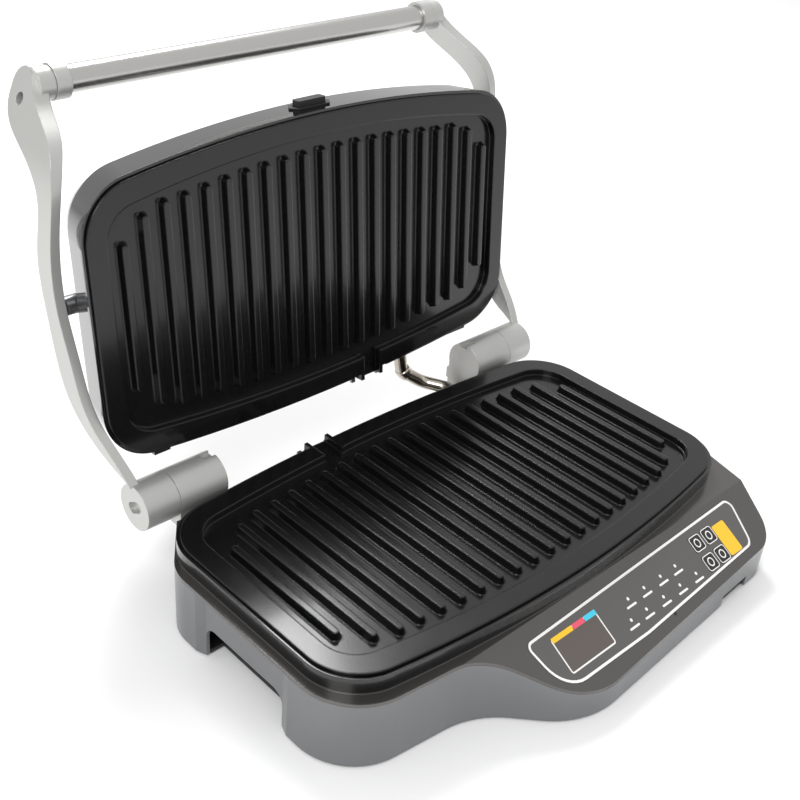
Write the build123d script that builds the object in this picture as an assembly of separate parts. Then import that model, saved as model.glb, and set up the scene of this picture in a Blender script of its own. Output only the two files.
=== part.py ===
from build123d import *
import math
import os

os.makedirs("parts", exist_ok=True)

# Electric contact grill, millimetres, Z up, the floor is Z = 0 and the front is -Y.
# Plan sizes are measured from the centre of the lower plate. The grill stands open, lid behind the base.
# The origin of the written files is on the floor under the middle of the open grill.
origin_back = 40.155

# Grill plates: one casting used twice, ribs on a 14 mm pitch.
rib_pitch = 14.0
rib_count = 21
rib_width = 6.6
rib_height = 4.6
rib_taper = 17.0
rib_front_mid = 71.0
rib_bow = 6.1
rib_bow_at = 98.0
rib_rear_less = 2.0
rib_corner_x = 106.0
rib_corner_y = 24.0
rib_corner_r = 40.5
plate_half_x = 162.6
plate_front = 90.8
plate_rear = 90.5
plate_front_bow = 16.0
plate_rear_bow = 10.0
plate_corner_r = 33.0
plate_rim_width = 12.0
plate_rim_thick = 1.6
plate_depth = 10.0
plate_skirt_inset = 4.5
plate_top_z = 57.5

# Grease spout and the two steel prongs at the rear of each plate.
spout_x = -37.0
spout_width = 19.0
spout_reach = 4.5
prong_offset = 11.0
prong_width = 3.0
prong_reach = 8.0
prong_thick = 2.0

# Base outline, read from the photo's floor line and seam.
base_half_x = 170.0
base_bottom_z = 1.5
seam_z = 45.5
deck_slope = 0.6
deck_foot_y = -93.5
shelf_z = 20.0
shelf_from_y = 92.0
base_rear_y = 121.0
wall = 2.2
cover_thick = 2.2
collar_out = 2.0
collar_wall = 2.7
running_gap = 0.3

# Recessed mid panel and arch on each side wall.
side_recess = 2.5
panel_rear_y = 30.5
panel_front_y = -35.5
panel_ramp = 6.5
arch_top_z = 23.5
arch_corner_r = 8.0
arch_deep = 14.0

# Hinge line and barrels.
hinge_y = 105.0
hinge_z = 56.5
barrel_r = 14.4
pin_r = 5.0
pin_fit = 0.05
knuckle_in = 141.0
knuckle_out = 163.0
bracket_in = 108.0
bracket_front_y = 92.3
bracket_rear_y = 120.5

# Handle tube.
tube_y = 204.0
tube_z = 271.0
tube_r = 7.75
tube_half = 145.0
socket_in = 141.0
socket_out = 150.0
tube_wall = 1.2
grip_collar_r = 9.2
grip_collar_long = 9.0

# Arm: side edges as (y, z) and outer face as (x, z).
arm_front_edge = [(106, 70), (117.5, 84.5), (130.5, 97.5), (147.5, 132.5), (160, 160.5),
                  (161, 200), (159, 234.6), (164.7, 247.9), (179.4, 258.4), (201, 275)]
arm_rear_edge = [(218, 268), (215.5, 258.5), (199.5, 246.5), (182.5, 236.5), (173.8, 226),
                 (176.2, 190.5), (173.5, 160.5), (162.5, 127.5), (148.5, 98.5), (117, 75)]
arm_outer = [(163, 40), (163, 62), (167.5, 84), (171.8, 110), (171.2, 150), (171, 190),
             (169.4, 228), (165.5, 246), (160.5, 257), (154.5, 269), (150, 279), (146, 292)]
arm_thick_low = 5.8
arm_thick_top = 9.0
arm_screw_r = 3.2

# Lid pose and shell.
lid_tilt = 95.53
lid_y = 133.0
lid_z = 156.6
lid_out = 2.0
lid_foot = plate_rim_thick + running_gap
lid_wall_high = 25.5
lid_side_lean = 5.5
lid_shoulder = 4.5
lid_shoulder_high = 3.5
lid_crown_high = 18.0
lid_crown_draw = 14.0
crown_steps = 5
lid_wall = 2.4
pivot_local_y = -6.8
pivot_local_z = 31.0
pivot_pin_r = 3.0
pivot_boss_r = 5.5
pivot_boss_out = 164.4

# Plate release button in the lid's front wall.
button_width = 21.0
button_high = 7.0
button_z = 14.0
button_inside = 2.6
button_stem = 6.0
button_proud = 4.6
bezel_width = 31.0
bezel_high = 11.0
bezel_proud = 1.0

# Heating elements, reflectors and their clips, in the plate's own frame.
element_r = 3.4
element_gap = 0.3
element_half_x = 118.0
element_half_y = 44.0
element_bend = 22.0
pan_inset = 11.5
pivot_boss_in = plate_half_x - pan_inset + 2 * running_gap
pan_depth = 26.0
pan_sheet = 0.8
clip_long = 12.0
clip_wide = 7.0
rest_r = 5.0

# Wiring conduit between the lid and the base.
conduit_r = 4.6
conduit_bend = 12.0
conduit_route = [(72, 134.2, 64), (76, 134.6, 47), (91, 128, 36), (101.2, 114, 34.5), (101.2, 93, 34.5)]
gland_r = 6.3
gland_long = 5.0

# Control panel, plan coordinates on the sloping deck.
film_thick = 0.6
window_thick = 1.0
deck_fit = 0.1
window_x = -23.0
window_y = -115.0
window_wide = 36.0
window_deep = 16.7
key_xs = [93.8, 106.0]
key_ys = [-107.8, -119.4]
key_wide = 10.6
key_deep = 9.0
start_x = 118.0
start_y = -114.2
start_wide = 12.0
start_deep = 18.2
board_drop = 7.0
board_thick = 1.6

foot_r = 9.0
foot_x = 138.0
foot_front_y = -60.0
foot_rear_y = 82.0
post_r = 5.0
base_screw_r = 2.0
base_screw_long = 12.0
post_x = 95.0
post_front_y = -60.0
post_rear_y = 62.0


def rounded(corners):
    """Closed face with a tangent arc of its own radius at every corner (x, y, radius)."""
    edges = []
    first = None
    last = None
    total = len(corners)
    for i in range(total):
        before = Vector(*corners[i - 1][:2])
        here = Vector(*corners[i][:2])
        after = Vector(*corners[(i + 1) % total][:2])
        radius = corners[i][2]
        back = (before - here).normalized()
        ahead = (after - here).normalized()
        half = math.radians(back.get_angle(ahead)) / 2
        start = here + back * (radius / math.tan(half))
        end = here + ahead * (radius / math.tan(half))
        middle = here + (back + ahead).normalized() * (radius / math.sin(half) - radius)
        if last is not None:
            edges.append(Line(last, start))
        edges.append(ThreePointArc(start, middle, end))
        if first is None:
            first = start
        last = end
    edges.append(Line(last, first))
    return make_face(edges)


def grown(face, amount):
    """Face offset outward by amount, inward when amount is negative."""
    return offset(face, amount=amount, kind=Kind.ARC)


def slab(face, low, high):
    """Prism of a plan face between two heights."""
    return Pos(0, 0, low) * extrude(face, amount=high - low)


def rod_x(radius, x0, x1, y, z):
    """Round bar along X."""
    return Pos((x0 + x1) / 2, y, z) * Rot(0, 90, 0) * Cylinder(radius, abs(x1 - x0))


def save(name, shape):
    """Write one node, with the origin moved back to the middle of the open grill."""
    export_step(Pos(0, -origin_back, 0) * shape, "parts/" + name + ".step")


def bow_height(x, middle, bow, at):
    """Parabolic edge that falls by bow at distance at from the middle."""
    return middle - bow * (x / at) ** 2


def plate_outline(grow=0.0, lean=0.0):
    """Rim outline grown by a distance, with its sides drawn in by lean: bowed ends, rounded corners."""
    wide = plate_half_x + grow - lean
    front = plate_front + grow
    rear = plate_rear + grow
    half = wide / 2
    side_front = -(front - plate_front_bow)
    side_rear = rear - plate_rear_bow
    front_at = -bow_height(half, front, plate_front_bow, wide)
    rear_at = bow_height(half, rear, plate_rear_bow, wide)
    front_left = ThreePointArc((-wide, side_front), (-half, front_at), (0, -front))
    front_right = ThreePointArc((0, -front), (half, front_at), (wide, side_front))
    right = Line((wide, side_front), (wide, side_rear))
    rear_right = ThreePointArc((wide, side_rear), (half, rear_at), (0, rear))
    rear_left = ThreePointArc((0, rear), (-half, rear_at), (-wide, side_rear))
    left = Line((-wide, side_rear), (-wide, side_front))
    face = make_face([front_left, front_right, right, rear_right, rear_left, left])
    ends = [v for v in face.vertices() if abs(v.X) > half]
    return fillet(ends, plate_corner_r + grow)


def rib_end(x):
    """Distance from the centre to a rib's front end."""
    if abs(x) <= rib_corner_x:
        return bow_height(x, rib_front_mid, rib_bow, rib_bow_at)
    across = abs(x) - rib_corner_x
    return rib_corner_y + math.sqrt(rib_corner_r ** 2 - across ** 2)


def grill_plate():
    """Cast plate, rib tops at Z = 0: rim, pan, tapered ribs and the grease spout."""
    body = slab(plate_outline(), -plate_rim_thick, 0)
    body += slab(plate_outline(-plate_skirt_inset), -plate_depth, -plate_rim_thick)
    pocket = plate_outline(-plate_rim_width)
    body -= slab(pocket, -rib_height, 1)
    for i in range(rib_count):
        x = (i - (rib_count - 1) / 2) * rib_pitch
        front = -rib_end(x)
        rear = rib_end(x) - rib_rear_less
        shape = Rot(0, 0, 90) * SlotOverall(rear - front, rib_width)
        rib = extrude(Pos(x, (front + rear) / 2) * shape, amount=rib_height, taper=rib_taper)
        body += Pos(0, 0, -rib_height) * rib
    lip_end = plate_rear + spout_reach
    lip_from = plate_rear - plate_rim_width - 1
    lip = Pos(spout_x, (lip_from + lip_end) / 2, -plate_depth / 2)
    body += lip * Box(spout_width, lip_end - lip_from, plate_depth)
    gutter_end = lip_end + 1
    gutter = Pos(spout_x, (lip_from + gutter_end) / 2, -rib_height / 2 + 0.5)
    body -= gutter * Box(spout_width - 5, gutter_end - lip_from, rib_height + 1)
    for x in (spout_x - prong_offset, spout_x + prong_offset):
        slot = Pos(x, plate_rear, -plate_depth + prong_thick)
        body -= slot * Box(prong_width, 2 * prong_reach, prong_thick)
    return body


def plate_prongs():
    """Two steel prongs pressed into the rear edge of the plate."""
    group = []
    long = 2 * prong_reach
    for x in (spout_x - prong_offset, spout_x + prong_offset):
        prong = Pos(x, plate_rear, -plate_depth + prong_thick) * Box(prong_width, long, prong_thick)
        group.append(prong)
    return Compound(children=group)


def element_z():
    """Height of the element's axis in the plate frame."""
    return -plate_depth - element_gap - element_r


def heating_element():
    """Tubular element: one loop with both tails bent down at the rear."""
    z = element_z()
    tail = 20.0
    low = z - pan_depth + plate_depth + element_r + element_gap + pan_sheet + 1
    path = FilletPolyline(
        (-tail, element_half_y, low), (-tail, element_half_y, z), (-element_half_x, element_half_y, z),
        (-element_half_x, -element_half_y, z), (element_half_x, -element_half_y, z),
        (element_half_x, element_half_y, z), (tail, element_half_y, z), (tail, element_half_y, low),
        radius=6.0)
    start = Plane(origin=path @ 0, z_dir=path % 0)
    return sweep(start * Circle(element_r), path=path)


def reflector_pan():
    """Bright sheet pan under the element with four rests for the plate."""
    outer = plate_outline(-pan_inset)
    inner = plate_outline(-pan_inset - pan_sheet)
    floor = -pan_depth
    pan = slab(outer, floor, -plate_depth - running_gap) - slab(inner, floor + pan_sheet, 0)
    for x in (-element_half_x + 30, element_half_x - 30):
        for y in (-element_half_y - 18, element_half_y + 16):
            high = pan_depth - plate_depth - running_gap
            pan += Pos(x, y, floor + high / 2) * Cylinder(rest_r, high)
    for x in (-20.0, 20.0):
        pan -= Pos(x, element_half_y, floor) * Cylinder(element_r + 1, 8)
    return pan


def element_clips():
    """Saddles that hold the element above the reflector floor."""
    low = -pan_depth + pan_sheet
    high = element_z() - 0.02
    group = []
    cut = element_r + 0.02
    for x in (-element_half_x / 2, element_half_x / 2):
        block = Pos(x, -element_half_y, (low + high) / 2) * Box(clip_long, clip_wide, high - low)
        group.append(block - rod_x(cut, x - clip_long, x + clip_long, -element_half_y, element_z()))
    for x in (-element_half_x / 2, element_half_x / 2):
        block = Pos(x, element_half_y, (low + high) / 2) * Box(clip_long, clip_wide, high - low)
        group.append(block - rod_x(cut, x - clip_long, x + clip_long, element_half_y, element_z()))
    return Compound(children=group)


def base_corners(recess):
    """Plan of the base: S-curve on the left of the deck, generous rear corners."""
    rear = [(base_half_x, 57, 30), (122, base_rear_y, 60), (-122, base_rear_y, 60), (-base_half_x, 57, 30)]
    front = [(-base_half_x, -84.5, 38), (-84.5, -94.4, 54), (-41.5, -139.3, 54), (152, -128.5, 20),
             (base_half_x, -60, 60)]
    if not recess:
        return rear + front
    inner = base_half_x - side_recess
    ramp_r = 3.0
    left = [(-base_half_x, panel_rear_y + panel_ramp, ramp_r), (-inner, panel_rear_y, ramp_r),
            (-inner, panel_front_y, ramp_r), (-base_half_x, panel_front_y - panel_ramp, ramp_r)]
    right = [(-x, y, r) for x, y, r in reversed(left)]
    return rear + left + front[:-1] + [front[-1]] + right


def deck_cut():
    """Everything above the sloping deck."""
    reach = 70.0
    rise = 60.0
    profile = Polyline(
        (deck_foot_y, seam_z), (deck_foot_y - reach, seam_z - deck_slope * reach),
        (deck_foot_y - reach, seam_z + rise), (deck_foot_y, seam_z + rise), close=True)
    face = Plane.YZ * make_face(profile)
    return extrude(face, amount=base_half_x + 20, both=True)


def base_block(face, top):
    """Solid of the base under its top surfaces: level ledge, sloping deck, low rear shelf."""
    block = slab(face, base_bottom_z, top)
    block -= Pos(0, 0, top - seam_z) * deck_cut()
    high = 60.0
    low = shelf_z + top - seam_z
    block -= Pos(0, shelf_from_y + 30, low + high / 2) * Box(2 * base_half_x + 20, 60, high)
    return block


def side_arches():
    """Arched openings in both side walls and the small notch at the front right."""
    wide = panel_rear_y - panel_front_y
    middle = (panel_rear_y + panel_front_y) / 2
    tall = 2 * arch_top_z
    profile = Plane.YZ * (Pos(middle, 0) * RectangleRounded(wide, tall, arch_corner_r))
    cut = extrude(profile, amount=base_half_x + 10, both=True)
    return cut - Box(2 * (base_half_x - arch_deep), 200, 200)


def front_notch():
    """Opening under the right end of the front wall."""
    return Pos(111, -130, 4) * Box(28, 24, 10)


def base_skirt():
    """Satin outer wall from the floor to the seam."""
    face = rounded(base_corners(True))
    outer = base_block(face, seam_z - cover_thick)
    inner = base_block(grown(face, -wall), seam_z + 20)
    skirt = outer - Pos(0, 0, -5) * inner
    skirt -= side_arches()
    skirt -= front_notch()
    return skirt


def gland_hole(point):
    """Hole along Y for the conduit."""
    return Pos(point[0], point[1], point[2]) * Rot(90, 0, 0) * Cylinder(conduit_r + deck_fit, 30)


def base_top_cover():
    """Glossy top: ledge, sloping control deck, collar round the lower plate and rear wall."""
    face = rounded(base_corners(False))
    block = base_block(face, seam_z)
    cover = block - Pos(0, 0, -cover_thick) * base_block(face, seam_z)
    cover -= slab(face, -10, shelf_z - cover_thick)
    rear_strip = slab(face, shelf_z - cover_thick, seam_z - cover_thick)
    keep = Pos(0, shelf_from_y - wall / 2, seam_z / 2) * Box(2 * base_half_x, wall, seam_z)
    cover += rear_strip & keep & slab(grown(face, -wall - 0.05), 0, seam_z)
    high = plate_top_z - plate_rim_thick - running_gap
    collar = slab(plate_outline(collar_out), seam_z - cover_thick, high)
    well = slab(plate_outline(collar_out - collar_wall), seam_z - 10, plate_top_z)
    cover = (cover + collar) - well
    spout_cut = Pos(spout_x, plate_rear, plate_top_z - plate_depth / 2 - 1)
    cover -= spout_cut * Box(2 * prong_offset + prong_width + 4, 14, plate_depth + 3)
    cover -= gland_hole(conduit_route[-1])
    return cover


def deck_place(x, y):
    """Placement on the deck surface from plan coordinates."""
    angle = math.degrees(math.atan(deck_slope))
    return Pos(x, y, seam_z + deck_slope * (y - deck_foot_y)) * Rot(angle, 0, 0)


def deck_scale():
    """Length along the slope for each millimetre of plan."""
    return math.sqrt(1 + deck_slope ** 2)


def deck_under():
    """Thickness of the deck measured square to its slope."""
    return cover_thick / deck_scale()


def film_corners():
    """Outline of the control film in plan."""
    return [(141.5, -97, 5), (-58.5, -101.3, 4), (-52, -129.5, 20), (20, -129.9, 60), (133.5, -124.6, 7)]


def film_face(grow):
    """Film outline laid on the slope, measured from the deck foot."""
    scale = deck_scale()
    face = rounded([(x, (y - deck_foot_y) * scale, r) for x, y, r in film_corners()])
    return grown(face, grow) if grow else face


def film_pocket():
    """Recess for the control film."""
    return deck_place(0, deck_foot_y) * slab(film_face(deck_fit), -film_thick, 5)


def pad(x, y, wide, deep, radius, low, high):
    """Rounded pad on the deck between two heights over the surface."""
    face = RectangleRounded(wide, deep * deck_scale(), radius)
    return deck_place(x, y) * slab(face, low, high)


def control_film():
    """Printed film in the deck with openings for the window, keys and start pad."""
    film = deck_place(0, deck_foot_y) * slab(film_face(0), -film_thick, 0)
    film -= pad(window_x, window_y, window_wide + deck_fit, window_deep + deck_fit, 1, -2, 2)
    film -= pad(start_x, start_y, start_wide + deck_fit, start_deep + deck_fit, 1.5, -2, 2)
    for x in key_xs:
        for y in key_ys:
            film -= pad(x, y, key_wide + deck_fit, key_deep + deck_fit, 1.5, -2, 2)
    return film


def touch_keys():
    """Four flush touch keys."""
    group = []
    for x in key_xs:
        for y in key_ys:
            group.append(pad(x, y, key_wide, key_deep, 1.5, -film_thick, 0.2))
    return Compound(children=group)


def control_board():
    """Circuit board under the deck with its relays, carried by four posts."""
    length = 176.0
    deep = 24.0
    low = -deck_under() - board_drop
    place = deck_place(38, -115)
    board = place * Pos(0, 0, low) * Box(length, deep, board_thick)
    high = board_drop - board_thick / 2 - 0.02
    for x in (-84, 84):
        for y in (-9, 9):
            board += place * Pos(x, y, low + board_thick / 2 + high / 2) * Cylinder(2.5, high)
    return board


def display_module():
    """Display body between the board and the window."""
    low = -deck_under() - board_drop + board_thick / 2
    high = -deck_under() - 0.02
    face = RectangleRounded(window_wide - 2, window_deep * deck_scale() - 3, 0.8)
    return deck_place(window_x, window_y) * slab(face, low, high)


def bottom_cover():
    """Floor panel with cooling slots and posts that carry the lower reflector."""
    face = grown(rounded(base_corners(True)), -wall - 0.05)
    panel = slab(face, base_bottom_z, base_bottom_z + 2.4)
    panel -= side_arches()
    slot_pitch = 9.0
    for i in range(12):
        x = (i - 5.5) * slot_pitch
        panel -= Pos(x, 0, base_bottom_z) * extrude(Rot(0, 0, 90) * SlotOverall(60, 4), amount=10, both=True)
    top = plate_top_z - pan_depth
    for x in (-post_x, post_x):
        for y in (post_front_y, post_rear_y):
            high = top - base_bottom_z - 2.4
            panel += Pos(x, y, top - high / 2) * Cylinder(post_r, high)
            panel -= Pos(x, y, base_bottom_z) * Cylinder(base_screw_r + deck_fit, 2 * base_screw_long + 1)
    for x in (-foot_x, foot_x):
        for y in (foot_front_y, foot_rear_y):
            panel -= Pos(x, y, base_bottom_z) * Cylinder(3, 12)
    return panel


def rubber_feet():
    """Four feet, each a disc with a plug in the floor panel."""
    group = []
    for x in (-foot_x, foot_x):
        for y in (foot_front_y, foot_rear_y):
            disc = Pos(x, y, base_bottom_z / 2) * Cylinder(foot_r, base_bottom_z)
            plug = Pos(x, y, base_bottom_z + 1.5) * Cylinder(3 - deck_fit, 3)
            group.append(disc + plug)
    return Compound(children=group)


def base_screws():
    """Screws up through the floor panel into its posts."""
    group = []
    for x in (-post_x, post_x):
        for y in (post_front_y, post_rear_y):
            screw = Pos(x, y, base_bottom_z + base_screw_long / 2) * Cylinder(base_screw_r, base_screw_long)
            group.append(screw)
    return Compound(children=group)


def power_inlet():
    """Cord gland in the rear wall of the base; the cord itself is out of the picture."""
    y = base_rear_y
    z = 10.5
    body = Pos(-60, y + 1.5, z) * Rot(90, 0, 0) * Cylinder(6, 7)
    flange = Pos(-60, y + 1.5, z) * Rot(90, 0, 0) * Cylinder(8, 2.9)
    return (body + flange) - Pos(-60, y, z) * Rot(90, 0, 0) * Cylinder(3.4, 30)


def power_inlet_hole():
    """Hole for the gland's body."""
    return Pos(-60, base_rear_y, 10.5) * Rot(90, 0, 0) * Cylinder(6 + deck_fit / 2, 8)


def hinge_bracket(side):
    """Fixed barrel on a tower that stands on the rear shelf."""
    x0 = bracket_in
    x1 = knuckle_in - running_gap
    barrel = rod_x(barrel_r, x0, x1, hinge_y, hinge_z)
    middle = (x0 + x1) / 2
    deep = bracket_rear_y - bracket_front_y
    tall = hinge_z - shelf_z
    centre_y = (bracket_front_y + bracket_rear_y) / 2
    tower = Pos(middle, centre_y, shelf_z + tall / 2) * Box(x1 - x0, deep, tall)
    lower = Pos(middle, centre_y, hinge_z - barrel_r) * Box(x1 - x0, deep, 8)
    tower = (tower & slab(rounded(base_corners(False)), 0, hinge_z)) + lower
    bracket = barrel + tower
    bracket -= rod_x(pin_r + pin_fit, x0 + 6, x1 + 5, hinge_y, hinge_z)
    stop = Pos(x0 + 4, hinge_y + 2, hinge_z + barrel_r - 1) * Box(8, 7, 4)
    bracket -= stop
    return bracket if side > 0 else bracket.mirror(Plane.YZ)


def hinge_pins():
    """One pin on each side, held in the bracket, the arm turns on it."""
    right = rod_x(pin_r, bracket_in + 6, knuckle_out - 6, hinge_y, hinge_z)
    return Compound(children=[right, right.mirror(Plane.YZ)])


def arm_band():
    """Front view of the arm: a band between its outer and inner faces."""
    inner = []
    for x, z in arm_outer:
        share = min(max((z - 232) / 30, 0), 1)
        inner.append((x - arm_thick_low - share * (arm_thick_top - arm_thick_low), z))
    outer_line = Spline(*arm_outer)
    inner_line = Spline(*reversed(inner))
    top = Line(arm_outer[-1], inner[-1])
    bottom = Line(inner[0], arm_outer[0])
    face = make_face([outer_line, top, inner_line, bottom])
    return Pos(0, 320, 0) * extrude(Plane.XZ * face, amount=320)


def arm(side):
    """Cast arm: hinge knuckle, swept blade and the socket for the handle."""
    front = Spline(*arm_front_edge)
    rear = Spline(*arm_rear_edge)
    head = ThreePointArc(arm_front_edge[-1], (213.5, 278.5), arm_rear_edge[0])
    heel = Line(arm_rear_edge[-1], arm_front_edge[0])
    side_face = Plane.YZ * make_face([front, head, rear, heel])
    blade = extrude(side_face, amount=200) & arm_band()
    knuckle = rod_x(barrel_r, knuckle_in, knuckle_out, hinge_y, hinge_z)
    socket = rod_x(grip_collar_r, socket_in, socket_out, tube_y, tube_z)
    body = blade + knuckle + socket
    body -= rod_x(tube_r, socket_in - 5, tube_half, tube_y, tube_z)
    body -= rod_x(pin_r + pin_fit, knuckle_in - 5, knuckle_out - 5.5, hinge_y, hinge_z)
    dimple = Pos(knuckle_out, hinge_y, hinge_z) * Rot(0, 90, 0) * extrude(
        Rot(0, 0, 60) * SlotOverall(13, 7), amount=3, both=True)
    body -= dimple
    pivot_y, pivot_z = pivot_point()
    body -= rod_x(pivot_pin_r + pin_fit, knuckle_in, 169.5, pivot_y, pivot_z)
    body -= rod_x(arm_screw_r + deck_fit, 147.6, 190, tube_y + 3, tube_z - 7)
    return body if side > 0 else body.mirror(Plane.YZ)


def arm_screws():
    """Recessed screw near the top of each arm."""
    right = rod_x(arm_screw_r, 147.6, 150.6, tube_y + 3, tube_z - 7)
    right -= Pos(150.6, tube_y + 3, tube_z - 7) * Box(2, 1, 5)
    return Compound(children=[right, right.mirror(Plane.YZ)])


def handle_tube():
    """Brushed tube between the arms."""
    tube = rod_x(tube_r, -tube_half, tube_half, tube_y, tube_z)
    return tube - rod_x(tube_r - tube_wall, -tube_half - 1, tube_half + 1, tube_y, tube_z)


def grip_collars():
    """Short collars where the tube meets the arms."""
    right = rod_x(grip_collar_r + 0.8, socket_in - grip_collar_long, socket_in - 0.2, tube_y, tube_z)
    right -= rod_x(tube_r + deck_fit, 0, tube_half + 5, tube_y, tube_z)
    return Compound(children=[right, right.mirror(Plane.YZ)])


def pivot_point():
    """Lid pivot in the open pose, from its place in the lid's own frame."""
    turn = math.radians(-lid_tilt)
    y = lid_y + pivot_local_y * math.cos(turn) - pivot_local_z * math.sin(turn)
    z = lid_z + pivot_local_y * math.sin(turn) + pivot_local_z * math.cos(turn)
    return y, z


def lid_place():
    """From the closed lid frame, plate plane at Z = 0, to the open pose."""
    return Pos(0, lid_y, lid_z) * Rot(-lid_tilt, 0, 0)


def lid_section(height, grow, lean):
    """Plan of the lid at a height."""
    return Pos(0, 0, height) * plate_outline(grow, lean)


def lid_solid(inset):
    """Closed form of the lid, one ruled loft: wall that leans in at its sides, shoulder, crown."""
    grow = lid_out - inset
    base = lid_wall_high + lid_shoulder_high
    high = lid_crown_high - inset
    sections = [lid_section(lid_foot, grow, 0)]
    sections.append(lid_section(lid_wall_high, grow, lid_side_lean))
    sections.append(lid_section(base, grow - lid_shoulder, lid_side_lean))
    for step in range(1, crown_steps + 1):
        angle = math.pi / 2 * step / crown_steps
        drawn = lid_shoulder + lid_crown_draw * (1 - math.cos(angle))
        sections.append(lid_section(base + high * math.sin(angle), grow - drawn, lid_side_lean))
    return loft(sections, ruled=True)


def lid_shell():
    """Glossy lid shell, hollow, with the button opening and rear tabs."""
    outer = lid_solid(0)
    for x0, x1 in ((-134, -123), (112, 130)):
        outer += Pos((x0 + x1) / 2, 84.8, 7) * Box(x1 - x0, 8, 8)
    shell = outer - Pos(0, 0, -0.01) * lid_solid(lid_wall)
    front = -(plate_front + lid_out)
    wide = button_width + 2 * running_gap
    shell -= Pos(0, front, button_z) * Box(wide, 12, button_high + 2 * running_gap)
    spout_cut = Pos(-spout_x, plate_rear, plate_depth / 2)
    shell -= spout_cut * Box(2 * prong_offset + prong_width + 4, 14, plate_depth + 3)
    shell -= Pos(conduit_route[0][0], plate_rear, 10) * Rot(90, 0, 0) * Cylinder(conduit_r + deck_fit, 20)
    hole = rod_x(pivot_boss_r + deck_fit, pivot_boss_in, pivot_boss_out, pivot_local_y, pivot_local_z)
    return shell - hole - hole.mirror(Plane.YZ)


def pivot_boss():
    """Boss between the lid's side wall and the arm."""
    return rod_x(pivot_boss_r, pivot_boss_in, pivot_boss_out, pivot_local_y, pivot_local_z)


def lid_pivot_pins():
    """Pins from the lid's side walls into the arms."""
    right = pivot_boss() + rod_x(pivot_pin_r, pivot_boss_in, 169, pivot_local_y, pivot_local_z)
    return Compound(children=[right, right.mirror(Plane.YZ)])


def button_bezel():
    """Flange with pointed ends round the release button."""
    front = -(plate_front + lid_out)
    half = bezel_width / 2
    point = 4.0
    tall = bezel_high / 2
    profile = Polyline(
        (-half, 0), (-half + point, tall), (half - point, tall), (half, 0),
        (half - point, -tall), (-half + point, -tall), close=True)
    ring = Pos(0, front, button_z) * extrude(Plane.XZ * make_face(profile), amount=bezel_proud)
    hole = button_width + 2 * running_gap
    return ring - Pos(0, front, button_z) * Box(hole, 12, button_high + 2 * running_gap)


def release_button():
    """Push button that frees the upper plate."""
    front = -(plate_front + lid_out)
    long = button_proud + button_inside
    cap = Pos(0, front + button_inside - long / 2, button_z) * Box(button_width, long, button_high)
    cap = fillet(cap.edges().filter_by(Axis.Y), 1.5)
    stem_y = front + button_inside + button_stem / 2
    stem = Pos(0, stem_y, button_z) * Box(9, button_stem, 5)
    return cap + stem


def lid_inner_frame():
    """Black inner frame that carries the upper reflector in the lid."""
    outer = plate_outline(lid_out - lid_wall - 0.1)
    inner = plate_outline(-pan_inset + running_gap)
    top = pan_depth
    ring = slab(outer, top - 7, top - 5) - slab(inner, 0, 40)
    return ring & lid_solid(lid_wall + 0.1)


def latch_guides():
    """Two guide blocks on the inside of the lid wall, one at each side of the button."""
    inside = -(plate_front + lid_out) + lid_wall
    long = 5.0
    wide = 5.0
    group = []
    apart = button_width / 2 + 2 * running_gap + wide / 2
    for x in (-apart, apart):
        y = inside + running_gap + long / 2
        group.append(Pos(x, y, button_z + 0.5) * Box(wide, long, button_high - 2))
    return Compound(children=group)


def wiring_conduit():
    """Metal conduit from the base's rear wall up to the lid."""
    path = FilletPolyline(*conduit_route, radius=conduit_bend)
    start = Plane(origin=path @ 0, z_dir=path % 0)
    conduit = sweep(start * Circle(conduit_r), path=path)
    section = math.pi * conduit_r ** 2
    print("conduit volume", conduit.volume, "section x length", section * path.length)
    print("conduit bend radius", conduit_bend)
    return conduit


def base_gland():
    """Nut round the conduit on the base's rear wall."""
    x, y, z = conduit_route[-1]
    nut = Pos(x, shelf_from_y + gland_long / 2, z) * Rot(90, 0, 0)
    solid = extrude(RegularPolygon(gland_r, 6), amount=gland_long / 2, both=True)
    hole = Cylinder(conduit_r + deck_fit, gland_long + 2)
    return nut * (solid - hole)


lower = Pos(0, 0, plate_top_z)
upper = lid_place() * Rot(0, 180, 0)

save("lower_plate", lower * grill_plate())
save("lower_plate_prongs", lower * plate_prongs())
save("upper_plate", upper * grill_plate())
save("upper_plate_prongs", upper * plate_prongs())
save("lower_heating_element", lower * heating_element())
save("upper_heating_element", upper * heating_element())
save("lower_reflector", lower * reflector_pan())
save("upper_reflector", upper * reflector_pan())
save("lower_element_clips", lower * element_clips())
save("upper_element_clips", upper * element_clips())

save("base_skirt", base_skirt() - power_inlet_hole())
save("base_top_cover", base_top_cover() - film_pocket())
save("bottom_cover", bottom_cover())
save("rubber_feet", rubber_feet())
save("base_screws", base_screws())
save("power_inlet", power_inlet())
save("control_film", control_film())
save("display_window", pad(window_x, window_y, window_wide, window_deep, 1, -film_thick, 0.1))
save("start_pad", pad(start_x, start_y, start_wide, start_deep, 1.5, -film_thick, 0.2))
save("touch_keys", touch_keys())
save("control_board", control_board())
save("display_module", display_module())
save("hinge_bracket_left", hinge_bracket(-1))
save("hinge_bracket_right", hinge_bracket(1))
save("hinge_pins", hinge_pins())
save("wiring_conduit", wiring_conduit())
save("conduit_gland", base_gland())

save("left_arm", arm(-1))
save("right_arm", arm(1))
save("arm_screws", arm_screws())
save("handle_tube", handle_tube())
save("handle_collars", grip_collars())

save("lid_shell", lid_place() * lid_shell())
save("lid_inner_frame", lid_place() * lid_inner_frame())
save("lid_pivot_pins", lid_place() * lid_pivot_pins())
save("latch_guides", lid_place() * latch_guides())
save("button_bezel", lid_place() * button_bezel())
save("plate_release_button", lid_place() * release_button())
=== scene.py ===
import math

import bpy
import numpy as np
from mathutils import Matrix, Vector


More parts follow.
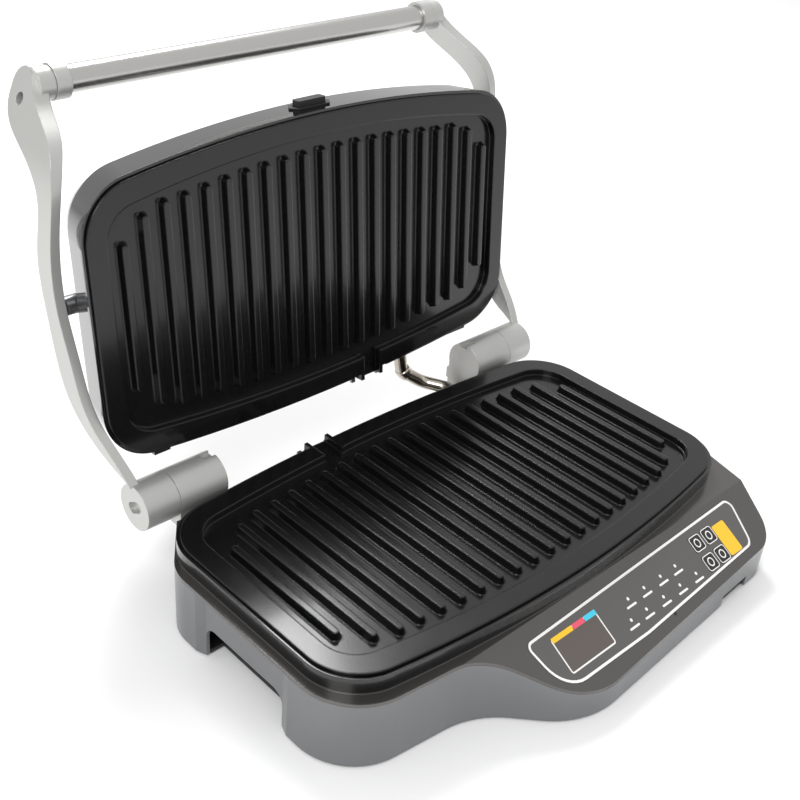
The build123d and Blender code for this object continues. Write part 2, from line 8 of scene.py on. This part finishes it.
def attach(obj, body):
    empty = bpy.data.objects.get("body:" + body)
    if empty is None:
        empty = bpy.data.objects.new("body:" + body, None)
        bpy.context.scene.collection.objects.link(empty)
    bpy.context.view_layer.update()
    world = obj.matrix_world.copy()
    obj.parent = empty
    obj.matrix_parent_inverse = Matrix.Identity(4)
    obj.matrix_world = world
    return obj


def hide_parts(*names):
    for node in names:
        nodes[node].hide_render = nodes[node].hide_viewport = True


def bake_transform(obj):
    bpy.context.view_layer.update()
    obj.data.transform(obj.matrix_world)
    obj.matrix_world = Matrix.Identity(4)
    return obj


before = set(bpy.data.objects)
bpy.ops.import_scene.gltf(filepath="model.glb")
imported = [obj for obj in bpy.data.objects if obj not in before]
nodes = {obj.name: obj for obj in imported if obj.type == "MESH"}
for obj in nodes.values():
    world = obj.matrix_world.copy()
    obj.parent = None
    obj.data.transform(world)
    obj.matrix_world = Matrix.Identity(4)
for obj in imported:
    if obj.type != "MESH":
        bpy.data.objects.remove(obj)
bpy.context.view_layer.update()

# Base skirt: the outer wall of the base, one moulding sprayed with satin metallic grey paint.
# It stands on the floor panel's feet and carries the glossy top cover on its upper edge.
MM = 0.001


def linear(hex_colour):
    """sRGB hex to linear RGBA: c / 12.92 up to 0.04045, ((c + 0.055) / 1.055) ** 2.4 above."""
    out = []
    for i in (1, 3, 5):
        c = int(hex_colour[i:i + 2], 16) / 255
        out.append(c / 12.92 if c <= 0.04045 else ((c + 0.055) / 1.055) ** 2.4)
    return (*out, 1.0)


def add(tree, kind, values=None, links=None, **settings):
    """One node: its own settings, the values of its sockets, and the outputs linked to them."""
    node = tree.nodes.new(kind)
    for name, setting in settings.items():
        setattr(node, name, setting)
    for socket, value in (values or {}).items():
        node.inputs[socket].default_value = value
    for socket, output in (links or {}).items():
        tree.links.new(output, node.inputs[socket])
    return node


def material(name, colour, metallic=0.0, rough=0.5, ior=1.5, coat=0.0, coat_rough=0.03,
             grain=0.0, grain_mm=1.0, stretch=(1, 1, 1), blotch=0.0, edge_mm=0.35):
    """Surface with softly rounded edges, fine grain and slightly uneven roughness.

    The grain is noise of size grain_mm, squeezed along each axis by stretch. Edges are rounded over
    edge_mm, and blotch varies the roughness over patches of 25 mm.
    """
    mat = bpy.data.materials.new(name)
    mat.use_nodes = True
    tree = mat.node_tree
    shader = tree.nodes["Principled BSDF"]
    plain = {"Base Color": linear(colour), "Metallic": metallic, "Roughness": rough, "IOR": ior,
             "Coat Weight": coat, "Coat Roughness": coat_rough}
    for socket, value in plain.items():
        shader.inputs[socket].default_value = value
    place = add(tree, "ShaderNodeTexCoord").outputs["Object"]
    normal = add(tree, "ShaderNodeBevel", {"Radius": edge_mm * MM}, samples=4).outputs["Normal"]
    if coat:
        tree.links.new(normal, shader.inputs["Coat Normal"])
    if grain:
        grain_scale = tuple(s / (grain_mm * MM) for s in stretch)
        scaled = add(tree, "ShaderNodeMapping", {"Scale": grain_scale}, {"Vector": place})
        noise = add(tree, "ShaderNodeTexNoise", {"Scale": 1.0, "Detail": 3.0},
                    {"Vector": scaled.outputs["Vector"]})
        normal = add(tree, "ShaderNodeBump", {"Strength": grain, "Distance": 0.05 * MM},
                     {"Height": noise.outputs["Fac"], "Normal": normal}).outputs["Normal"]
    tree.links.new(normal, shader.inputs["Normal"])
    if blotch:
        cloud = add(tree, "ShaderNodeTexNoise", {"Scale": 1 / (25 * MM), "Detail": 2.0}, {"Vector": place})
        uneven = add(tree, "ShaderNodeMapRange", {"To Min": rough - blotch, "To Max": rough + blotch},
                     {"Value": cloud.outputs["Fac"]})
        tree.links.new(uneven.outputs["Result"], shader.inputs["Roughness"])
    return mat


def dress(surface, *names):
    """Gives CAD nodes their finish, with smooth shading over edges of less than 32 degrees."""
    for name in names:
        mesh = nodes[name].data
        mesh.materials.clear()
        mesh.materials.append(surface)
        mesh.shade_smooth()
        mesh.set_sharp_from_angle(angle=math.radians(32))


# Metallic paint under a thin clear coat: an even grey sheen with fine flakes.
grey_paint = material("satin metallic grey paint", "#77787a", metallic=0.65, rough=0.34, coat=0.25,
                      coat_rough=0.12, grain=0.12, grain_mm=0.25, blotch=0.03, edge_mm=0.6)
dress(grey_paint, "base_skirt")

# Floor panel and mains inlet: plain black mouldings with a fine spark-eroded texture.
# The panel closes the base from below, and the inlet sits in the rear wall.
# Textured ABS: dark, with a dull broken highlight.
black_matte = material("textured black ABS", "#161617", rough=0.55, grain=0.5, grain_mm=0.5)
dress(black_matte, "bottom_cover", "power_inlet")

# Feet and screws: four rubber discs plugged into the floor panel, four steel screws up into its posts.
# The hexagonal nut holds the conduit in the base's rear wall.
# Moulded rubber: matt and slightly grainy.
rubber = material("moulded black rubber", "#1b1b1b", rough=0.8, grain=0.5, grain_mm=0.6)
# Zinc-plated steel: grey metal with a soft shine.
plain_steel = material("plain zinc-plated steel", "#8d8e90", metallic=1.0, rough=0.35, grain=0.2,
                       grain_mm=0.4, edge_mm=0.15)
dress(rubber, "rubber_feet")
dress(plain_steel, "base_screws", "conduit_gland")

# Heater side: bright reflector pans, tubular elements and their saddles, in the base and in the lid.
# The element's steel sheath has darkened with heat. All of it is hidden behind the plates.
# Rolled aluminium: bright, with faint lines along the sheet.
bright_sheet = material("bright rolled aluminium sheet", "#cfd0d1", metallic=1.0, rough=0.3, grain=0.2,
                        grain_mm=0.3, stretch=(0.05, 1, 1), edge_mm=0.1)
# Heated steel: brown-grey and uneven.
sheath = material("heat-darkened steel sheath", "#4a4540", metallic=0.9, rough=0.45, blotch=0.08, edge_mm=0.1)
dress(bright_sheet, "lower_reflector", "upper_reflector", "lower_element_clips", "upper_element_clips")
dress(sheath, "lower_heating_element", "upper_heating_element")

# Top cover: one glossy moulding with the level ledge, the sloping deck and the collar round the plate.
# The deck is metallic grey under clear lacquer, and the collar above the ledge is polished black.
deck_foot_z = 45.5 * MM
deck_grey = "#605e5c"
deck_black = "#060607"
deck_metallic = 0.75


def deck_paint():
    """Metallic grey lacquer that turns to polished black just above the ledge.

    The black share is a smoothstep of the height from 0.4 to 1 mm over the ledge.
    """
    mat = material("gloss metallic grey deck", deck_grey, metallic=deck_metallic, rough=0.24, coat=0.5,
                   coat_rough=0.05, grain=0.08, grain_mm=0.25, edge_mm=0.6)
    tree = mat.node_tree
    shader = tree.nodes["Principled BSDF"]
    place = add(tree, "ShaderNodeTexCoord").outputs["Object"]
    split = add(tree, "ShaderNodeSeparateXYZ", None, {"Vector": place})
    span = {"From Min": deck_foot_z + 0.4 * MM, "From Max": deck_foot_z + 1.0 * MM}
    share = add(tree, "ShaderNodeMapRange", span, {"Value": split.outputs["Z"]},
                interpolation_type="SMOOTHSTEP").outputs["Result"]
    grey_input = 6
    black_input = 7
    colour_output = 2
    mix = add(tree, "ShaderNodeMix", None, {"Factor": share}, data_type="RGBA")
    mix.inputs[grey_input].default_value = linear(deck_grey)
    mix.inputs[black_input].default_value = linear(deck_black)
    metal = add(tree, "ShaderNodeMapRange", {"To Min": deck_metallic, "To Max": 0.0}, {"Value": share})
    tree.links.new(mix.outputs[colour_output], shader.inputs["Base Color"])
    tree.links.new(metal.outputs["Result"], shader.inputs["Metallic"])
    return mat


dress(deck_paint(), "base_top_cover")

# Control panel: a printed polyester film in a pocket of the deck, with the smoked display window,
# four touch keys and the yellow start pad. The display module and the board sit under it.
# Printed film: grey with a clear glossy face.
film_grey = material("printed polyester film", "#666462", metallic=0.6, rough=0.24, coat=0.5, edge_mm=0.1)
# Smoked polycarbonate: brown-grey with a hard clear highlight.
smoked_window = material("smoked polycarbonate window", "#544c47", rough=0.12, coat=0.6, edge_mm=0.2)
# Screen inks: flat opaque colours, a little duller than the film.
# The dark grey is the touch keys' own ink, and also painted shade for a small hole in the deck.
key_ink_and_hole_shade = material("dark grey key ink and painted hole shade", "#242324", rough=0.3, edge_mm=0.05)
yellow_ink = material("yellow screen ink", "#f0bf2e", rough=0.35, edge_mm=0.2)
# Circuit board: green lacquer over glass fibre.
board_green = material("green solder mask on glass-fibre", "#27573a", rough=0.35, edge_mm=0.1)
dress(film_grey, "control_film")
dress(key_ink_and_hole_shade, "touch_keys")
dress(smoked_window, "display_window")
dress(yellow_ink, "start_pad")
dress(black_matte, "display_module")
dress(board_green, "control_board")

# Prints on the panel: the white outline, plain dots, bars and rings, and the three-colour strip.
# Each is screen ink, drawn as a thin raised shape about 0.1 mm high. A dark dot drawn the same way is
# painted shade for a small hole in the deck. Places are plan millimetres from the centre of the lower
# plate, as in the CAD, and the origin lies origin_back behind it.
white_ink = material("white screen ink", "#e9e8e6", rough=0.4, edge_mm=0.05)
red_ink = material("red screen ink", "#e2566d", rough=0.35, edge_mm=0.05)
cyan_ink = material("cyan screen ink", "#43c4e0", rough=0.35, edge_mm=0.05)
origin_back = 40.155 * MM
deck_foot_y = -93.5 * MM
deck_slope = 0.6
deck_normal = np.array([0, -deck_slope, 1]) / math.hypot(deck_slope, 1)
film_print = (0.02, 0.12)
window_print = (0.12, 0.2)
# Layer of the dark dot that is painted shade for a small hole in the deck.
hole_shade_print = (0.13, 0.2)
key_print = (0.22, 0.3)


def mesh_object(name, points, faces, surface):
    """Mesh from an array of points and a list of faces, with its finish and material slot."""
    mesh = bpy.data.meshes.new(name)
    mesh.from_pydata(points.tolist(), [], faces)
    mesh.update()
    piece = bpy.data.objects.new(name, mesh)
    bpy.context.scene.collection.objects.link(piece)
    piece.data.materials.append(surface)
    return piece


def over_deck(plan, lift):
    """Points over the deck: z = foot + slope * (y - foot y), raised lift mm along the deck's normal."""
    x, y = plan.T * MM
    z = deck_foot_z + deck_slope * (y - deck_foot_y)
    return np.stack([x, y - origin_back, z], axis=1) + lift * MM * deck_normal


def grid_faces(rows, around, closed):
    """Quads between rows of points that run round; the last row meets the first when closed."""
    i = np.arange(rows if closed else rows - 1)[:, None]
    j = np.arange(around)[None, :]
    after = (i + 1) % rows * around
    beside = (j + 1) % around
    quads = np.stack([i * around + j, i * around + beside, after + beside, after + j], axis=-1)
    return quads.reshape(-1, 4).tolist()


def rounded_line(corners, steps=8):
    """Closed plan line with a tangent arc at each corner (x, y, radius), in millimetres.

    An arc's points are centre + rotation by t of its first radius, for t from 0 to the turn.
    """
    line = []
    total = len(corners)
    for i in range(total):
        here = np.array(corners[i][:2], float)
        back = np.array(corners[i - 1][:2], float) - here
        ahead = np.array(corners[(i + 1) % total][:2], float) - here
        back /= np.linalg.norm(back)
        ahead /= np.linalg.norm(ahead)
        half = math.acos(max(-1, min(1, float(back @ ahead)))) / 2
        radius = corners[i][2]
        middle = (back + ahead) / np.linalg.norm(back + ahead)
        centre = here + middle * radius / math.sin(half)
        a = here + back * radius / math.tan(half) - centre
        b = here + ahead * radius / math.tan(half) - centre
        turn = math.atan2(a[0] * b[1] - a[1] * b[0], float(a @ b))
        t = np.linspace(0, turn, steps + 1)
        line.append(centre + np.stack([a[0] * np.cos(t) - a[1] * np.sin(t),
                                       a[0] * np.sin(t) + a[1] * np.cos(t)], axis=1))
    return np.concatenate(line)


def box_line(x, y, wide, deep, radius):
    """Rounded rectangle in plan round a centre."""
    a = wide / 2
    b = deep / 2
    corners = [(x + a, y + b, radius), (x - a, y + b, radius), (x - a, y - b, radius), (x + a, y - b, radius)]
    return rounded_line(corners, 4)


def ring_line(x, y, radius, count=16):
    """Circle in plan."""
    angles = np.linspace(0, 2 * math.pi, count, endpoint=False)
    return np.stack([x + radius * np.cos(angles), y + radius * np.sin(angles)], axis=1)


def print_line(name, line, width, surface, layer=film_print):
    """Printed line: a closed band of square section that follows a plan line.

    Its edges lie half a width to each side of the line, square to the chord between neighbours.
    """
    ahead = np.roll(line, -1, axis=0) - np.roll(line, 1, axis=0)
    ahead /= np.linalg.norm(ahead, axis=1)[:, None]
    side = np.stack([-ahead[:, 1], ahead[:, 0]], axis=1) * width / 2
    low, high = layer
    section = [over_deck(line - side, low), over_deck(line + side, low),
               over_deck(line + side, high), over_deck(line - side, high)]
    points = np.stack(section, axis=1).reshape(-1, 3)
    piece = mesh_object(name, points, grid_faces(len(line), len(section), True), surface)
    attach(piece, "base")


def print_patch(name, line, surface, layer=film_print):
    """Printed patch: the area inside a closed plan line, between the two heights of its layer."""
    total = len(line)
    low, high = layer
    points = np.concatenate([over_deck(line, high), over_deck(line, low)])
    i = np.arange(total)
    j = (i + 1) % total
    sides = np.stack([i, total + i, total + j, j], axis=1).tolist()
    top = list(range(total))
    bottom = list(range(2 * total - 1, total - 1, -1))
    piece = mesh_object(name, points, [top, bottom] + sides, surface)
    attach(piece, "base")


film_corners = [(140.3, -97.8, 4.5), (-57.2, -102.0, 3.2), (-51.3, -128.7, 19), (20, -129.1, 60),
                (132.8, -123.8, 6)]
outline_width = 1.3
print_line("panel_outline_print", rounded_line(film_corners), outline_width, white_ink)
window_frame = box_line(-23, -115, 37.0, 17.6, 1.2)
window_frame_width = 0.8
print_line("window_outline_print", window_frame, window_frame_width, white_ink)

strip_y = -106.8
strip_high = 2.6
strip_gap = 0.4
strip_parts = (("yellow", -41.5, -24, yellow_ink), ("red", -24, -14, red_ink), ("cyan", -14, -3.8, cyan_ink))
for strip_name, x0, x1, ink in strip_parts:
    strip = box_line((x0 + x1) / 2, strip_y, x1 - x0 - strip_gap, strip_high, 0.4)
    print_patch(f"strip_print_{strip_name}", strip, ink, window_print)

mark_rows = (([21.4, 36.5, 52.4, 67.1], -110.7), ([14.2, 28.5, 44.9, 61.2, 77.7], -119.7))
dot_r = 0.9
bar_left = 0.5
bar_below = 3.6
bar_wide = 8.5
bar_high = 1.1
for row, (mark_xs, y) in enumerate(mark_rows):
    for i, x in enumerate(mark_xs):
        print_patch(f"mark_dot_{row}_{i}", ring_line(x, y, dot_r), white_ink)
        bar = box_line(x - bar_left, y - bar_below, bar_wide, bar_high, 0.4)
        print_patch(f"mark_bar_{row}_{i}", bar, white_ink)

key_xs = (93.8, 106.0)
key_ys = (-107.8, -119.4)
key_frame_width = 0.5
key_mark_r = 2.2
key_mark_width = 0.7
for i, x in enumerate(key_xs):
    for j, y in enumerate(key_ys):
        key_frame = box_line(x, y, 9.8, 8.2, 1.6)
        print_line(f"key_ring_print_{i}{j}", key_frame, key_frame_width, white_ink, key_print)
        print_line(f"key_mark_print_{i}{j}", ring_line(x, y, key_mark_r), key_mark_width, white_ink, key_print)
# Dark dot of painted shade: it stands for the shade inside a small hole in the deck.
print_patch("hole_shade_dot_print", ring_line(45, -129.6, dot_r), key_ink_and_hole_shade, hole_shade_print)

# Grill plates: one aluminium casting used twice, sprayed with a black non-stick coating.
# The lower one lies in the base and the upper one in the lid, each with two steel prongs at its rear.
# Non-stick coat: near black with a broad soft sheen that widens on the rib tops.
non_stick = material("non-stick coated cast aluminium", "#0c0c0d", rough=0.2, ior=1.45, coat=0.25,
                     coat_rough=0.1, grain=0.15, grain_mm=0.9, blotch=0.04, edge_mm=1.5)
dress(non_stick, "lower_plate", "upper_plate")
dress(plain_steel, "lower_plate_prongs", "upper_plate_prongs")

# Hinges: two die-cast brackets with fixed barrels behind the plate, and the steel pins through them.
# The arms' knuckles turn on the outer ends of the pins.
# Silver paint on zinc: pale and satin.
silver_paint = material("satin silver paint on die-cast zinc", "#bdbdba", metallic=0.55, rough=0.38,
                        grain=0.12, grain_mm=0.25, blotch=0.03, edge_mm=0.7)
dress(silver_paint, "hinge_bracket_left", "hinge_bracket_right")
dress(plain_steel, "hinge_pins")

# Arms and handle: two swept die-cast arms, and a stainless tube between them with a collar at each end.
# One recessed screw holds the tube in each arm.
# Brushed stainless: pale metal with fine lines along the tube.
brushed_tube = material("brushed stainless steel", "#c9c8c5", metallic=1.0, rough=0.24, grain=0.5,
                        grain_mm=0.2, stretch=(0.02, 1, 1), edge_mm=0.3)
dress(silver_paint, "left_arm", "right_arm", "handle_collars")
dress(plain_steel, "arm_screws")
dress(brushed_tube, "handle_tube")

# Lid: a polished black shell over a plain inner frame. It hangs on two steel pins between the arms.
# The release button sits in a flange in its front wall, between two guide blocks.
# Polished ABS: deep black with mirror-like highlights.
black_gloss = material("polished black ABS", "#060607", rough=0.07, ior=1.54, coat=0.6, blotch=0.02,
                       edge_mm=0.6)
dress(black_gloss, "lid_shell")
dress(plain_steel, "lid_pivot_pins")
dress(black_matte, "lid_inner_frame", "latch_guides", "button_bezel", "plate_release_button")

# Wiring conduit: one bright drawn steel tube. It is made as two runs that meet inside a ferrule: the lower run
# lies between base and arms, the upper one between arms and lid. Only the ferrule is attached to the arms.
# Its route is the CAD's, in millimetres from the centre of the lower plate.
# Drawn steel: warm and almost as bright as chrome.
conduit_metal = material("bright drawn steel conduit", "#c7bfb4", metallic=1.0, rough=0.16, grain=0.15,
                         grain_mm=0.4, edge_mm=0.1)
conduit_r = 4.6 * MM
conduit_bend = 12 * MM
conduit_route = [(72, 134.2, 64), (76, 134.6, 47), (91, 128, 36), (101.2, 114, 34.5), (101.2, 93, 34.5)]
ferrule_wall = 0.7 * MM
ferrule_reach = 2


def smooth_path(corners, radius, step=1.5 * MM):
    """Points along straight runs and tangent arcs through the corners, spaced by about one step."""
    out = []
    last = Vector(corners[0])
    for i in range(1, len(corners) - 1):
        here = Vector(corners[i])
        back = (Vector(corners[i - 1]) - here).normalized()
        ahead = (Vector(corners[i + 1]) - here).normalized()
        half = back.angle(ahead) / 2
        start = here + back * radius / math.tan(half)
        middle = here + (back + ahead).normalized() * radius / math.sin(half)
        count = max(2, int((start - last).length / step))
        out += [last.lerp(start, k / count) for k in range(count)]
        axis = (start - middle).cross(ahead).normalized()
        turn = math.pi - 2 * half
        count = max(4, int(turn * radius / step))
        arm = start - middle
        for k in range(count):
            out.append(middle + Matrix.Rotation(turn * k / count, 4, axis) @ arm)
        last = here + ahead * radius / math.tan(half)
    end = Vector(corners[-1])
    count = max(2, int((end - last).length / step))
    out += [last.lerp(end, k / count) for k in range(count + 1)]
    return out


def tube_along(name, centres, radius, around=20):
    """Round tube along a path: ring point = c + r (u cos a + v sin a), closed at both ends.

    u and v stand square to the path at each centre c, and u is carried along it without twist.
    """
    u = None
    axes = []
    for i in range(len(centres)):
        along = (centres[min(i + 1, len(centres) - 1)] - centres[max(i - 1, 0)]).normalized()
        u = along.orthogonal().normalized() if u is None else u
        u = (u - along * u.dot(along)).normalized()
        axes.append((u.copy(), along.cross(u)))
    across = np.array(axes)
    a = np.linspace(0, 2 * math.pi, around, endpoint=False)
    ring = across[:, None, 0] * np.cos(a)[None, :, None] + across[:, None, 1] * np.sin(a)[None, :, None]
    points = (np.array(centres)[:, None] + radius * ring).reshape(-1, 3)
    first = list(range(around - 1, -1, -1))
    last = list(range(len(points) - around, len(points)))
    faces = grid_faces(len(centres), around, False) + [first, last]
    tube = mesh_object(name, points, faces, conduit_metal)
    tube.data.shade_smooth()
    return tube


route = [Vector((x * MM, y * MM - origin_back, z * MM)) for x, y, z in conduit_route]
centres = smooth_path(route, conduit_bend)
cut = len(centres) // 4
upper_conduit = tube_along("conduit_upper_run", centres[:cut + 1], conduit_r)
lower_conduit = tube_along("conduit_lower_run", centres[cut:], conduit_r)
ferrule = tube_along("conduit_ferrule", centres[cut - ferrule_reach:cut + ferrule_reach + 1],
                     conduit_r + ferrule_wall)
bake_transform(lower_conduit)
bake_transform(upper_conduit)
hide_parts("wiring_conduit")
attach(ferrule, "handle_arms")

# Stage: a pale matt floor in an even white room, with a soft key light from the left and a soft light
# from behind that draws the long highlights on the ribs.
floor_reach = 6
floor_corners = [(-floor_reach, -floor_reach, 0), (floor_reach, -floor_reach, 0),
                 (floor_reach, floor_reach, 0), (-floor_reach, floor_reach, 0)]
floor_mesh = bpy.data.meshes.new("floor")
floor_mesh.from_pydata(floor_corners, [], [(0, 1, 2, 3)])
floor = bpy.data.objects.new("floor", floor_mesh)
bpy.context.scene.collection.objects.link(floor)
floor.data.materials.append(material("pale matt floor", "#f4f4f4", rough=0.9, edge_mm=0.01))

room = bpy.data.worlds.new("soft white room")
bpy.context.scene.world = room
room.use_nodes = True
room.node_tree.nodes["Background"].inputs["Color"].default_value = (1, 1, 1, 1)
room.node_tree.nodes["Background"].inputs["Strength"].default_value = 0.75


def soft_light(name, place, aim, size, power):
    """Square area light aimed at a point."""
    data = bpy.data.lights.new(name, "AREA")
    data.size = size
    data.energy = power
    lamp = bpy.data.objects.new(name, data)
    lamp.location = place
    lamp.rotation_euler = (Vector(aim) - Vector(place)).to_track_quat("-Z", "Y").to_euler()
    bpy.context.scene.collection.objects.link(lamp)


soft_light("key light", (-1.1, -0.54, 1.3), (0, -0.04, 0.1), 0.8, 14)
soft_light("back light", (0.5, 1.06, 1.5), (0, -0.09, 0.05), 0.7, 22)

# Camera at the photo's angle: its place and axes come from the ribs, the hinge barrels and the rims.
camera_data = bpy.data.cameras.new("camera")
camera_data.lens = 53.167
camera_data.sensor_width = 36.0
camera = bpy.data.objects.new("camera", camera_data)
right = Vector((0.723475, -0.686424, 0.073528))
upward = Vector((0.323234, 0.430928, 0.842508))
back = Vector((-0.610003, -0.585767, 0.533641))
turn = Matrix((right, upward, back)).transposed()
camera_place = Matrix.Translation((-0.443757, -0.365542 - origin_back, 0.477717))
camera.matrix_world = camera_place @ turn.to_4x4()
bpy.context.scene.collection.objects.link(camera)
bpy.context.scene.camera = camera

bpy.context.scene.view_settings.view_transform = "Standard"
bpy.context.scene.view_settings.look = "None"
